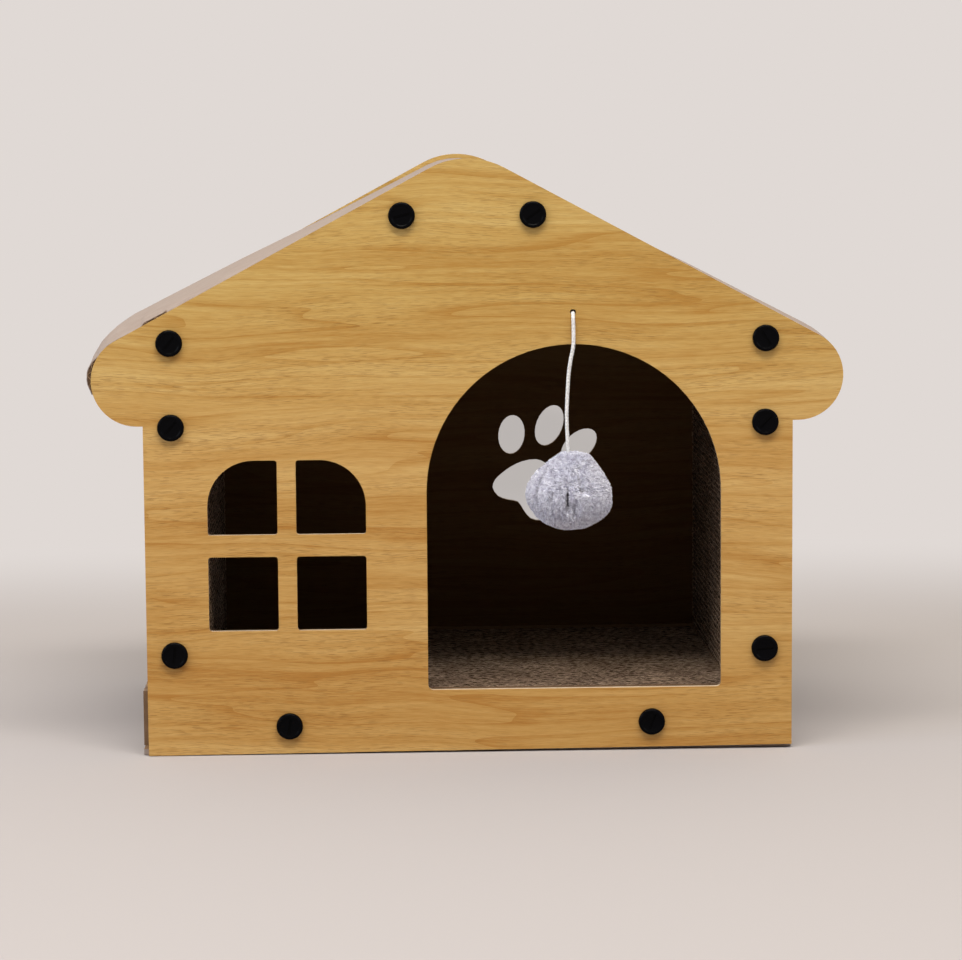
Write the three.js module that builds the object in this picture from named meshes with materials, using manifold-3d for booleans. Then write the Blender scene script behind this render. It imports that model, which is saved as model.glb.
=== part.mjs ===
// Cat scratcher house: two printed boards on five folded sheets, three scratch pads, twenty coin
// rivets and a hanging ball.
// Millimetres, +Z up. The front board faces -Y. The origin is the centre of the base's underside.

import * as THREE from 'three';
import { mergeVertices } from 'three/addons/utils/BufferGeometryUtils.js';
import Module from 'manifold-3d';

const wasm = await Module();
wasm.setup();

// The house as a whole
const eaveSpan = 500;
const bodyWidth = 432.6;
const houseHeight = 397.2;
const houseDepth = 280;
const boardThickness = 4;

// Outline of the two end boards
const eaveUnderside = 221.9;
const eaveRadius = 30.1;
const apexRadius = 52.3;

// Roof sheet against that outline: below it at the ridge, past it round the left eave
const ridgeRecess = 3;
const leftEaveBulge = 3.3;
const rightEaveBulge = 0;
const curlAngle = 17;

// Flaps that the sheets fold inwards behind the end boards
const flapWidth = 37;
const flapCorner = 9;
const roofFlapEnd = 12.6;
const baseFlapEnd = 14;
const wallTop = 240;

// Doorway, measured from the right side of the body
const doorWidth = 196.9;
const doorHeight = 231.6;
const doorMargin = 47.9;
const sillHeight = 42.4;
const doorCorner = 3.3;

// Window of four panes, measured from the left side of the body
const windowMargin = 41.8;
const windowBottom = 83.9;
const paneWidth = 46.5;
const paneHeight = 49.9;
const mullionWidth = 12.5;
const transomHeight = 14.7;
const windowArc = 30.8;
const paneCorner = 2;

// Paw cut out of the back board
const pawX = 79.9;
const pawZ = 185.4;
const pawTilt = 35;
const pawWidth = 48;
const pawHeight = 41;
const pawDrop = 25;
const toeWidth = 19.9;
const innerToeLength = 32;
const outerToeLength = 29.5;
const innerToeSpacing = 27.2;
const outerToeSpacing = 66.4;
const outerToeDrop = 21.8;
const innerToeSplay = 13;
const outerToeSplay = 29;

// Coin rivets
const headRadius = 8.9;
const headHeight = 3.2;
const headChamfer = 1.1;
const rimWidth = 1.2;
const rimDepth = 0.4;
const coinSlotLength = 11;
const coinSlotWidth = 1.5;
const coinSlotDepth = 1.2;
const shankRadius = 4;
const shankGrip = 6;
const nutFlangeRadius = 8;
const nutFlangeHeight = 1.8;
const nutCollarRadius = 6;
const nutEndWall = 1;
const ridgeRivetEnd = 31.1;
const wallRivetHigh = 220.9;
const wallRivetLow = 68.1;
const baseRivetX = 121.7;
const baseRivetHeight = 19.1;

// Scratch pads
const padThickness = 37;
const padReveal = 4.2;
const baseReveal = 3.4;

// Hanging ball on its cord
const cordDiameter = 2.6;
const cordHoleDiameter = 4;
const cordHoleX = 69.7;
const cordHoleZ = 295.2;
const knotRadius = 4.2;
const swingDrop = 30;
const ballWidth = 57.5;
const ballHeight = 52.7;
const ballX = 66.3;
const ballZ = 175.8;

// Clearances
const seatGap = 0.2;
const cordGap = 0.3;
const runningGap = 0.5;
const shankGap = 0.3;
const cutOverrun = 2;

// Facets
const arcSag = 0.06;
const toeFacets = 24;
const headFacets = 16;
const nutFacets = 12;
const holeFacets = 16;
const cordFacets = 8;
const ballFacets = 28;
const ballRings = 18;

// Places that follow from the sizes above
const halfBody = bodyWidth / 2;
const halfDepth = houseDepth / 2;
const sheetHalf = halfDepth - boardThickness - seatGap;
const rivetInset = flapWidth / 2;
const eaveX = eaveSpan / 2 - eaveRadius;
const eaveZ = eaveUnderside + eaveRadius;
const apexZ = houseHeight - apexRadius;
const centreDistance = Math.hypot(eaveX, apexZ - eaveZ);
const nutSeat = 2 * boardThickness + 2 * seatGap;
const shankEnd = nutSeat + shankGrip;
const nutEnd = shankEnd + runningGap + nutEndWall;
const padHalf = halfDepth - nutEnd - runningGap;
const padBottom = boardThickness + seatGap;
const padTop = padBottom + padThickness;
const wallBottom = padTop + runningGap;
const wallInside = halfBody - boardThickness;
const doorX = halfBody - doorMargin - doorWidth / 2;
const archZ = sillHeight + doorHeight - doorWidth / 2;

function degrees(angle) {
  return THREE.MathUtils.degToRad(angle);
}

// Points along an arc in the XZ plane, angles in degrees, with chords that stray by arcSag at most
function arc(x, z, radius, from, to) {
  const step = THREE.MathUtils.radToDeg(2 * Math.acos(1 - arcSag / radius));
  const count = Math.max(2, Math.ceil(Math.abs(to - from) / step));
  const points = [];
  for (let i = 0; i <= count; i += 1) {
    const angle = degrees(from + (to - from) * i / count);
    points.push(new THREE.Vector2(x + radius * Math.cos(angle), z + radius * Math.sin(angle)));
  }
  return points;
}

// Closed solid of a three.js geometry
function solidOf(geometry) {
  const plain = geometry.index ? geometry.toNonIndexed() : geometry.clone();
  plain.deleteAttribute('normal');
  plain.deleteAttribute('uv');
  const merged = mergeVertices(plain);
  const mesh = new wasm.Mesh({
    numProp: 3,
    vertProperties: new Float32Array(merged.attributes.position.array),
    triVerts: new Uint32Array(merged.index.array),
  });
  mesh.merge();
  return new wasm.Manifold(mesh);
}

// Three.js mesh of a solid
function meshOf(name, solid, material) {
  const { vertProperties, triVerts } = solid.getMesh();
  const geometry = new THREE.BufferGeometry();
  geometry.setAttribute('position', new THREE.BufferAttribute(vertProperties, 3));
  geometry.setIndex(new THREE.BufferAttribute(triVerts, 1));
  geometry.computeVertexNormals();
  const mesh = new THREE.Mesh(geometry, material);
  mesh.name = name;
  return mesh;
}

// Board of an XZ outline between two Y planes
function board(points, near, far) {
  const geometry = new THREE.ExtrudeGeometry(new THREE.Shape(points), {
    depth: far - near,
    bevelEnabled: false,
  });
  geometry.rotateX(degrees(90));
  geometry.translate(0, far, 0);
  return solidOf(geometry);
}

function block(x0, x1, y0, y1, z0, z1) {
  const geometry = new THREE.BoxGeometry(x1 - x0, y1 - y0, z1 - z0);
  geometry.translate((x0 + x1) / 2, (y0 + y1) / 2, (z0 + z1) / 2);
  return solidOf(geometry);
}

function joined(solids) {
  return solids.reduce((whole, piece) => whole.add(piece));
}

function cut(solid, cutters) {
  return cutters.reduce((rest, cutter) => rest.subtract(cutter), solid);
}

// Angle of the normal shared by the left eave's arc and the ridge's arc
function slopeNormal(eave, ridge) {
  const rise = THREE.MathUtils.radToDeg(Math.atan2(apexZ - eaveZ, eaveX));
  return rise + THREE.MathUtils.radToDeg(Math.acos((eave - ridge) / centreDistance));
}

// Roof line from the left eave over the ridge to the right eave
function roofLine(left, ridge, right, leftStart, rightEnd) {
  const leftNormal = slopeNormal(left, ridge);
  const rightNormal = 180 - slopeNormal(right, ridge);
  return [
    ...arc(-eaveX, eaveZ, left, leftStart, leftNormal),
    ...arc(0, apexZ, ridge, leftNormal, rightNormal),
    ...arc(eaveX, eaveZ, right, rightNormal, rightEnd),
  ];
}

// House outline of the end boards
const houseOutline = [
  new THREE.Vector2(-halfBody, 0),
  new THREE.Vector2(-halfBody, eaveUnderside),
  ...roofLine(eaveRadius, apexRadius, eaveRadius, 270, -90),
  new THREE.Vector2(halfBody, eaveUnderside),
  new THREE.Vector2(halfBody, 0),
];

// Rectangle with a radius of its own at each corner
function roundedPane(x0, x1, z0, z1, topLeft, topRight) {
  return [
    ...arc(x0 + paneCorner, z0 + paneCorner, paneCorner, 180, 270),
    ...arc(x1 - paneCorner, z0 + paneCorner, paneCorner, 270, 360),
    ...arc(x1 - topRight, z1 - topRight, topRight, 0, 90),
    ...arc(x0 + topLeft, z1 - topLeft, topLeft, 90, 180),
  ];
}

const doorOutline = [
  ...arc(doorX - doorWidth / 2 + doorCorner, sillHeight + doorCorner, doorCorner, 180, 270),
  ...arc(doorX + doorWidth / 2 - doorCorner, sillHeight + doorCorner, doorCorner, 270, 360),
  ...arc(doorX, archZ, doorWidth / 2, 0, 180),
];

function paneOutlines() {
  const left = windowMargin - halfBody;
  const outlines = [];
  for (const column of [0, 1]) {
    for (const row of [0, 1]) {
      const x = left + column * (paneWidth + mullionWidth);
      const z = windowBottom + row * (paneHeight + transomHeight);
      const topLeft = row === 1 && column === 0 ? windowArc : paneCorner;
      const topRight = row === 1 && column === 1 ? windowArc : paneCorner;
      outlines.push(roundedPane(x, x + paneWidth, z, z + paneHeight, topLeft, topRight));
    }
  }
  return outlines;
}

// Point of the paw, from its own axes to the back board
function pawPoint(across, along) {
  const turn = degrees(pawTilt);
  return new THREE.Vector2(
    pawX + across * Math.cos(turn) + along * Math.sin(turn),
    pawZ - across * Math.sin(turn) + along * Math.cos(turn),
  );
}

function toeOutline(across, along, length, splay) {
  const toe = new THREE.EllipseCurve(
    across,
    along,
    toeWidth / 2,
    length / 2,
    0,
    degrees(360),
    false,
    -degrees(splay),
  );
  return toe.getPoints(toeFacets).slice(1).map((point) => pawPoint(point.x, point.y));
}

// Right half of the paw's large pad, as shares of its half width and of its height
const pawShares = [
  [0, 0],
  [0.3, -0.04],
  [0.63, -0.22],
  [0.83, -0.42],
  [0.95, -0.62],
  [1, -0.78],
  [0.93, -0.92],
  [0.62, -1],
  [0.3, -0.95],
];
const pawNotchShare = 0.88;

function pawOutlines() {
  const right = pawShares.map(([x, z]) => [x * pawWidth / 2, z * pawHeight]);
  const left = right.slice(1).reverse().map(([x, z]) => [-x, z]);
  const corners = [...right, [0, -pawHeight * pawNotchShare], ...left];
  const curve = new THREE.CatmullRomCurve3(
    corners.map(([x, z]) => new THREE.Vector3(x, z - pawDrop, 0)),
    true,
  );
  const palm = curve.getPoints(corners.length * 2).slice(0, -1);
  return [
    palm.map((point) => pawPoint(point.x, point.y)),
    toeOutline(-innerToeSpacing / 2, 0, innerToeLength, -innerToeSplay),
    toeOutline(innerToeSpacing / 2, 0, innerToeLength, innerToeSplay),
    toeOutline(-outerToeSpacing / 2, -outerToeDrop, outerToeLength, -outerToeSplay),
    toeOutline(outerToeSpacing / 2, -outerToeDrop, outerToeLength, outerToeSplay),
  ];
}

// Rivets on the left half of the front, with the turn of each coin slot on both sides
function rivetRows() {
  const normal = slopeNormal(eaveRadius, apexRadius);
  const nx = Math.cos(degrees(normal));
  const nz = Math.sin(degrees(normal));
  const ridgeReach = apexRadius - rivetInset;
  const eaveReach = eaveRadius - rivetInset;
  return [
    {
      row: 'ridge',
      x: ridgeReach * nx - ridgeRivetEnd * nz,
      z: apexZ + ridgeReach * nz + ridgeRivetEnd * nx,
      turns: [15, 35],
    },
    {
      row: 'eave',
      x: eaveReach * nx - eaveX + ridgeRivetEnd * nz,
      z: eaveZ + eaveReach * nz - ridgeRivetEnd * nx,
      turns: [52, 122],
    },
    { row: 'wall_high', x: rivetInset - halfBody, z: wallRivetHigh, turns: [48, 45] },
    { row: 'wall_low', x: rivetInset - halfBody, z: wallRivetLow, turns: [85, 5] },
    { row: 'base', x: -baseRivetX, z: baseRivetHeight, turns: [80, 68] },
  ];
}

function rivetPlaces() {
  return rivetRows().flatMap(({ row, x, z, turns }) => [
    { name: `${row}_left`, x, z, turn: turns[0] },
    { name: `${row}_right`, x: -x, z, turn: turns[1] },
  ]);
}

// Holes for the rivets that pass through one sheet
function rivetHoles(test) {
  return rivetPlaces().filter(test).map(({ x, z }) => {
    const geometry = new THREE.CylinderGeometry(
      shankRadius + shankGap,
      shankRadius + shankGap,
      houseDepth + cutOverrun * 2,
      holeFacets,
    );
    geometry.translate(x, 0, z);
    return solidOf(geometry);
  });
}

// End boards

function endBoard(near, openings) {
  const far = near + boardThickness;
  const cutters = openings.map((points) => board(points, near - cutOverrun, far + cutOverrun));
  return cut(board(houseOutline, near, far), [...cutters, ...rivetHoles(() => true)]);
}

const cordHole = arc(cordHoleX, cordHoleZ, cordHoleDiameter / 2, 0, 360).slice(1);
const frontBoard = endBoard(-halfDepth, [doorOutline, cordHole, ...paneOutlines()]);
const backBoard = endBoard(halfDepth - boardThickness, pawOutlines());

// Sheets between the end boards, each with a flap at both ends

function flapPair(points) {
  return [
    board(points, -sheetHalf, boardThickness - sheetHalf),
    board(points, sheetHalf - boardThickness, sheetHalf),
  ];
}

function roofFlap(side, bulge) {
  const eave = eaveRadius + bulge;
  const ridge = apexRadius - ridgeRecess;
  const normal = slopeNormal(eave, ridge);
  const length = Math.sqrt(centreDistance ** 2 - (eave - ridge) ** 2);
  const nx = Math.cos(degrees(normal));
  const nz = Math.sin(degrees(normal));
  const corners = [
    [roofFlapEnd, boardThickness / 2],
    [length - roofFlapEnd, boardThickness / 2],
    [length - roofFlapEnd, flapWidth - flapCorner],
    [length - roofFlapEnd - flapCorner, flapWidth],
    [roofFlapEnd + flapCorner, flapWidth],
    [roofFlapEnd, flapWidth - flapCorner],
  ];
  const points = corners.map(([along, depth]) => new THREE.Vector2(
    side * (eaveX - (eave - depth) * nx - along * nz),
    eaveZ + (eave - depth) * nz - along * nx,
  ));
  return flapPair(points);
}

function roofSheet() {
  const lines = [0, boardThickness].map((depth) => roofLine(
    eaveRadius + leftEaveBulge - depth,
    apexRadius - ridgeRecess - depth,
    eaveRadius + rightEaveBulge - depth,
    180 + curlAngle,
    -curlAngle,
  ));
  const section = [...lines[0], ...lines[1].reverse()];
  const sheet = joined([
    board(section, -sheetHalf, sheetHalf),
    ...roofFlap(-1, leftEaveBulge),
    ...roofFlap(1, rightEaveBulge),
  ]);
  return cut(sheet, rivetHoles(({ name }) => /ridge|eave/.test(name)));
}

function wallSheet(side, bottom) {
  const outer = side * halfBody;
  const inner = side * wallInside;
  const edge = side * (halfBody - flapWidth);
  const low = wallRivetLow - rivetInset;
  const high = wallRivetHigh + rivetInset;
  const flap = [
    new THREE.Vector2(outer - side * boardThickness / 2, low),
    new THREE.Vector2(edge + side * flapCorner, low),
    new THREE.Vector2(edge, low + flapCorner),
    new THREE.Vector2(edge, high - flapCorner),
    new THREE.Vector2(edge + side * flapCorner, high),
    new THREE.Vector2(outer - side * boardThickness / 2, high),
  ];
  const sheet = joined([
    block(Math.min(outer, inner), Math.max(outer, inner), -sheetHalf, sheetHalf, bottom, wallTop),
    ...flapPair(flap),
  ]);
  const holes = rivetHoles(({ name, x }) => name.startsWith('wall') && x * side > 0);
  return cut(sheet, holes);
}

function baseSheet() {
  const reach = halfBody - baseFlapEnd;
  const top = boardThickness + flapWidth;
  const flap = [
    new THREE.Vector2(-reach, boardThickness / 2),
    new THREE.Vector2(reach, boardThickness / 2),
    new THREE.Vector2(reach, top - flapCorner),
    new THREE.Vector2(reach - flapCorner, top),
    new THREE.Vector2(flapCorner - reach, top),
    new THREE.Vector2(-reach, top - flapCorner),
  ];
  const left = -halfBody - baseReveal;
  const sheet = joined([
    block(left, halfBody, -sheetHalf, sheetHalf, 0, boardThickness),
    ...flapPair(flap),
  ]);
  return cut(sheet, rivetHoles(({ name }) => name.startsWith('base')));
}

// Scratch pads

const padLeft = -halfBody - padReveal;
const padRight = wallInside - seatGap - padReveal;
const floorPad = block(padLeft, padRight, -padHalf, padHalf, padBottom, padTop);

function sidePad(side) {
  const outer = side * (wallInside - seatGap);
  const inner = outer - side * padThickness;
  const x0 = Math.min(outer, inner);
  return block(x0, x0 + padThickness, -padHalf, padHalf, wallBottom, eaveUnderside);
}

// Coin rivets, outwards along local +Y from the board's face

function lathe(points, facets) {
  const profile = points.map(([radius, height]) => new THREE.Vector2(radius, height));
  return solidOf(new THREE.LatheGeometry(profile, facets));
}

function rivetSolid() {
  const crown = headHeight - rimDepth;
  const body = lathe([
    [0, -shankEnd],
    [shankRadius - runningGap, -shankEnd],
    [shankRadius, runningGap - shankEnd],
    [shankRadius, seatGap],
    [headRadius, seatGap],
    [headRadius, headHeight - headChamfer],
    [headRadius - headChamfer, headHeight],
    [headRadius - headChamfer - rimWidth, headHeight],
    [headRadius - headChamfer - rimWidth - rimDepth, crown],
    [0, crown],
  ], headFacets);
  const half = coinSlotLength / 2;
  const side = coinSlotWidth / 2;
  const slot = block(-half, half, crown - coinSlotDepth, headHeight + cutOverrun, -side, side);
  return body.subtract(slot);
}

function nutSolid() {
  const flangeEnd = nutSeat + nutFlangeHeight;
  const bore = shankRadius + shankGap;
  return lathe([
    [0, -nutEnd],
    [nutCollarRadius, -nutEnd],
    [nutCollarRadius, -flangeEnd],
    [nutFlangeRadius, -flangeEnd],
    [nutFlangeRadius, -nutSeat - seatGap],
    [bore, -nutSeat - seatGap],
    [bore, nutEndWall - nutEnd],
    [0, nutEndWall - nutEnd],
  ], nutFacets);
}

// Hanging ball

// Centre line of the cord, which hangs just in front of the front board
const cordPlane = -halfDepth - cordDiameter / 2 - cordGap * 2;
const pivotX = 67.7;
const pivotZ = cordHoleZ - swingDrop;
const cordEnd = cordDiameter / 2 + cordGap;
const upperRoute = [
  [cordHoleX, cordPlane, cordHoleZ - cordEnd],
  [69.8, cordPlane, 284],
  [69.7, cordPlane, 275.6],
  [68.5, cordPlane, 270],
  [pivotX, cordPlane, pivotZ + cordEnd],
];
const lowerRoute = [
  [pivotX, cordPlane, pivotZ],
  [66.9, cordPlane, 259.7],
  [65.9, cordPlane, 246.4],
  [65.3, cordPlane, 229.7],
  [65.6, cordPlane, 208.9],
  [ballX, cordPlane, ballZ + ballHeight / 2 + cordGap],
];

function cordTip(x, z) {
  const tip = new THREE.SphereGeometry(cordDiameter / 2, cordFacets, cordFacets);
  tip.rotateX(degrees(90));
  tip.translate(x, cordPlane, z);
  return solidOf(tip);
}

// The knot behind the board, and the cord through the hole as far as its bend
function knotSolid() {
  const knotY = -halfDepth + boardThickness + cordGap + knotRadius;
  const knot = new THREE.SphereGeometry(knotRadius, ballRings, ballRings / 2);
  knot.translate(cordHoleX, knotY, cordHoleZ);
  const stem = new THREE.CylinderGeometry(
    cordDiameter / 2,
    cordDiameter / 2,
    knotY - cordPlane,
    cordFacets,
  );
  stem.translate(cordHoleX, (knotY + cordPlane) / 2, cordHoleZ);
  return joined([solidOf(knot), solidOf(stem), cordTip(cordHoleX, cordHoleZ)]);
}

function cordSolid(route, steps) {
  const section = new THREE.Shape();
  for (let i = 0; i < cordFacets; i += 1) {
    const angle = degrees(360 * i / cordFacets);
    const point = [cordDiameter / 2 * Math.cos(angle), cordDiameter / 2 * Math.sin(angle)];
    if (i === 0) section.moveTo(...point);
    else section.lineTo(...point);
  }
  const path = new THREE.CatmullRomCurve3(route.map((point) => new THREE.Vector3(...point)));
  return solidOf(new THREE.ExtrudeGeometry(section, { steps, extrudePath: path }));
}

function lowerCordSolid() {
  return joined([cordSolid(lowerRoute, 12), cordTip(pivotX, pivotZ)]);
}

// Profile of the ball, as shares of its half width and of its height from the bottom
const ballShares = [
  [0, 0],
  [0.31, 0.012],
  [0.6, 0.063],
  [0.77, 0.134],
  [0.91, 0.262],
  [0.97, 0.38],
  [1, 0.49],
  [0.93, 0.6],
  [0.79, 0.71],
  [0.65, 0.81],
  [0.47, 0.9],
  [0.25, 0.98],
  [0, 1],
];
const foldShare = 0.03;
const foldCount = 5;

// Ball of pile: narrow above, widest below its middle, drawn in where the pile parts
function ballSolid() {
  const curve = new THREE.SplineCurve(ballShares.map(([x, z]) => new THREE.Vector2(x, z)));
  const profile = curve.getPoints(ballRings);
  profile[0].x = 0;
  profile[ballRings].x = 0;
  const geometry = new THREE.LatheGeometry(profile, ballFacets);
  geometry.rotateX(degrees(90));
  const place = geometry.attributes.position;
  for (let i = 0; i < place.count; i += 1) {
    const x = place.getX(i);
    const y = place.getY(i);
    const around = Math.atan2(y, x);
    const fold = 1 - foldShare * Math.hypot(x, y) * (1 - Math.cos(foldCount * around));
    const half = ballWidth / 2 * fold;
    place.setXYZ(i, x * half, y * half, (place.getZ(i) - 1 / 2) * ballHeight);
  }
  geometry.translate(ballX, cordPlane, ballZ);
  return solidOf(geometry);
}

// Finishes

const printedOak = new THREE.MeshStandardMaterial({ color: 0xbd9450, roughness: 0.5, metalness: 0 });
const paleLiner = new THREE.MeshStandardMaterial({ color: 0xcfc2b6, roughness: 0.7, metalness: 0 });
const kraftPad = new THREE.MeshStandardMaterial({ color: 0x957c66, roughness: 0.9, metalness: 0 });
const blackPlastic = new THREE.MeshStandardMaterial({ color: 0x0b0c10, roughness: 0.3, metalness: 0 });
const creamCord = new THREE.MeshStandardMaterial({ color: 0xefe6d8, roughness: 0.6, metalness: 0 });
const greyPile = new THREE.MeshStandardMaterial({ color: 0xa7a4b2, roughness: 0.95, metalness: 0 });

// The house

const house = new THREE.Group();

const shell = new THREE.Group();
shell.add(meshOf('front_panel', frontBoard, printedOak));
shell.add(meshOf('back_panel', backBoard, printedOak));
shell.add(meshOf('roof_sheet', roofSheet(), paleLiner));
shell.add(meshOf('base_sheet', baseSheet(), paleLiner));
shell.add(meshOf('left_wall', wallSheet(-1, wallBottom), paleLiner));
shell.add(meshOf('right_wall', wallSheet(1, boardThickness + seatGap), paleLiner));
house.add(shell);

const pads = new THREE.Group();
pads.add(meshOf('floor_pad', floorPad, kraftPad));
pads.add(meshOf('left_side_pad', sidePad(-1), kraftPad));
pads.add(meshOf('right_side_pad', sidePad(1), kraftPad));
house.add(pads);

function rivetGroup(end, facing, turnShift) {
  const group = new THREE.Group();
  for (const { name, x, z, turn } of rivetPlaces()) {
    const rivet = meshOf(`rivet_${end}_${name}`, rivetSolid(), blackPlastic);
    const nut = meshOf(`nut_${end}_${name}`, nutSolid(), blackPlastic);
    for (const piece of [rivet, nut]) {
      piece.position.set(x, facing * halfDepth, z);
      piece.rotation.set(facing < 0 ? degrees(180) : 0, degrees(turn + turnShift), 0);
      group.add(piece);
    }
  }
  return group;
}

house.add(rivetGroup('front', -1, 0));
house.add(rivetGroup('back', 1, 40));

const toy = new THREE.Group();
toy.add(meshOf('cord_knot', knotSolid(), creamCord));
toy.add(meshOf('cord_upper', cordSolid(upperRoute, 8), creamCord));
toy.add(meshOf('cord_lower', lowerCordSolid(), creamCord));
toy.add(meshOf('pompom', ballSolid(), greyPile));
house.add(toy);

export default house;
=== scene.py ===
# Cat scratcher house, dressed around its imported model. Metres, +Z up, the front board faces -Y.
# Pieces are modelled in millimetres and brought to metres as they are finished.

import math
import random
from functools import partial

import bmesh
import bpy
from mathutils import Matrix, Vector, noise


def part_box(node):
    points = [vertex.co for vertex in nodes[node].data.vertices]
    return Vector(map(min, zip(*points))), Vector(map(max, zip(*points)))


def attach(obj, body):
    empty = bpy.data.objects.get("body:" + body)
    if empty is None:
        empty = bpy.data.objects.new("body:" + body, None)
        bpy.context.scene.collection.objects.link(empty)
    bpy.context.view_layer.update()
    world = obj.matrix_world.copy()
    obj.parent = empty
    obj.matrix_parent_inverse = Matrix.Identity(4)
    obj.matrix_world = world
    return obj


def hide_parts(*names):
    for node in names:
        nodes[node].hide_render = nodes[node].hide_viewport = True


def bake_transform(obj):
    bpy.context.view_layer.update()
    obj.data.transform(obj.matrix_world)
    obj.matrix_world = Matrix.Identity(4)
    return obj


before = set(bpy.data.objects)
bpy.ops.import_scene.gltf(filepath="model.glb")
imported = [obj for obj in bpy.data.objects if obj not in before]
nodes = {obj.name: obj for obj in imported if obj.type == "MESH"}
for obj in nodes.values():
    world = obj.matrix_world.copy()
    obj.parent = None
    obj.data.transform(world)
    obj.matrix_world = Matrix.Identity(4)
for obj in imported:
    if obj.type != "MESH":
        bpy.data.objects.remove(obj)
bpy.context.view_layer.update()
scene = bpy.context.scene

metre = 1000.0  # in millimetres
weld = 0.002  # points nearer to each other than this are one
white = (1, 1, 1, 1)


# Small tools

def linearColour(code):  # sRGB hex to the linear values that a socket holds
    parts = [int(code[i:i + 2], 16) / 255 for i in (1, 3, 5)]
    return [c / 12.92 if c <= 0.04045 else ((c + 0.055) / 1.055) ** 2.4 for c in parts] + [1.0]


def setInputs(node, inputs):  # by name or in order; a node stands for its first output in use
    for key, value in inputs.items() if isinstance(inputs, dict) else enumerate(inputs):
        named = [socket for socket in node.inputs if socket.enabled and socket.name == key]
        socket = named[0] if named else node.inputs[key]
        if isinstance(value, str):
            value = linearColour(value)
        if isinstance(value, bpy.types.Node):
            value = next(output for output in value.outputs if output.enabled)
        if isinstance(value, bpy.types.NodeSocket):
            node.id_data.links.new(value, socket)
        else:
            socket.default_value = value


def addNode(tree, kind, inputs=(), stops=None, **settings):
    node = tree.nodes.new("ShaderNode" + kind)
    for key, value in settings.items():
        setattr(node, key, value)
    setInputs(node, inputs)
    if stops:  # places and colours along a Color Ramp
        ramp = node.color_ramp
        while len(ramp.elements) < len(stops):
            ramp.elements.new(1.0)
        for element, (place, colour) in zip(ramp.elements, stops):
            element.position = place
            element.color = linearColour(colour)
    return node


def newMaterial(name, colour, roughness, inputs=None):  # with its shader and what adds its nodes
    material = bpy.data.materials.new(name)
    material.use_nodes = True
    material.diffuse_color = linearColour(colour)
    shader = material.node_tree.nodes["Principled BSDF"]
    setInputs(shader, {"Base Color": colour, "Roughness": roughness, **(inputs or {})})
    return material, shader, partial(addNode, material.node_tree)


def cloudy(add, size, detail=2.0, roughness=0.5, span=None, levels=(0.0, 1.0), place=None):
    # Noise whose blots are size millimetres: one number, or a length and one or two widths.
    # With a span, that part of its range is spread over the levels.
    length, *widths = size if isinstance(size, tuple) else (size, size)
    scale = (metre / length, metre / widths[0], metre / widths[-1])
    if place is None:
        place = add("TexCoord").outputs["Object"]
    vector = add("Mapping", {"Vector": place, "Scale": scale})
    cloud = add("TexNoise", {"Vector": vector, "Scale": 1.0, "Detail": detail, "Roughness": roughness})
    return add("MapRange", (cloud, *span, *levels)) if span else cloud


def faceOutwards(bm):
    bmesh.ops.recalc_face_normals(bm, faces=bm.faces)


def copyOf(node):  # a CAD node's shape as one closed mesh, in millimetres
    bm = bmesh.new()
    bm.from_mesh(nodes[node].data)
    bmesh.ops.scale(bm, vec=(metre, metre, metre), verts=bm.verts)
    bmesh.ops.remove_doubles(bm, verts=bm.verts, dist=weld)
    return bm


def boxOf(node):  # lowest and highest corner, in millimetres
    return [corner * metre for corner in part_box(node)]


def temporary(bm):
    mesh = bpy.data.meshes.new("temporary")
    bm.to_mesh(mesh)
    bm.free()
    obj = bpy.data.objects.new("temporary", mesh)
    scene.collection.objects.link(obj)
    return obj


def combined(base, tool, operation):  # both shapes are used up
    pair = [temporary(base), temporary(tool)]
    modifier = pair[0].modifiers.new("combine", "BOOLEAN")
    modifier.object, modifier.operation, modifier.solver = pair[1], operation, "EXACT"
    evaluated = pair[0].evaluated_get(bpy.context.evaluated_depsgraph_get())
    mesh = bpy.data.meshes.new_from_object(evaluated)
    result = bmesh.new()
    result.from_mesh(mesh)
    for old in (mesh, *(obj.data for obj in pair)):
        bpy.data.meshes.remove(old)
    return result


def merged(parts):  # [(shape, material number or None)] into one shape
    whole = bmesh.new()
    for part, number in parts:
        if number is not None:
            for face in part.faces:
                face.material_index = number
        mesh = bpy.data.meshes.new("temporary")
        part.to_mesh(mesh)
        part.free()
        whole.from_mesh(mesh)
        bpy.data.meshes.remove(mesh)
    return whole


def slab(x0, x1, y0, y1, z0, z1, bevel):
    bm = bmesh.new()
    bmesh.ops.create_cube(bm, size=1)
    bmesh.ops.scale(bm, vec=(x1 - x0, y1 - y0, z1 - z0), verts=bm.verts)
    bmesh.ops.translate(bm, vec=((x0 + x1) / 2, (y0 + y1) / 2, (z0 + z1) / 2), verts=bm.verts)
    bmesh.ops.bevel(bm, geom=bm.edges, offset=bevel, offset_type="OFFSET", segments=3, profile=0.5,
                    affect="EDGES", material=-1)
    return bm


def turned(profile, steps):  # a profile of (radius, height) spun about Z
    bm = bmesh.new()
    points = [bm.verts.new((radius, 0, height)) for radius, height in profile]
    edges = [bm.edges.new(pair) for pair in zip(points, points[1:])]
    bmesh.ops.spin(bm, geom=points + edges, cent=(0, 0, 0), axis=(0, 0, 1), angle=math.tau, steps=steps,
                   use_merge=True)
    bmesh.ops.remove_doubles(bm, verts=bm.verts, dist=weld)
    faceOutwards(bm)
    return bm


def extendedEdges(bm, edges, chain):  # extrudes a row of edges, and gives the new edges and points
    made = bmesh.ops.extrude_edge_only(bm, edges=edges)["geom"]
    newer = {v for v in made if isinstance(v, bmesh.types.BMVert)}
    edges = [e for e in made if isinstance(e, bmesh.types.BMEdge) and set(e.verts) <= newer]
    return edges, [next(e.other_vert(v) for e in v.link_edges if e.other_vert(v) in newer) for v in chain]


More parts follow.
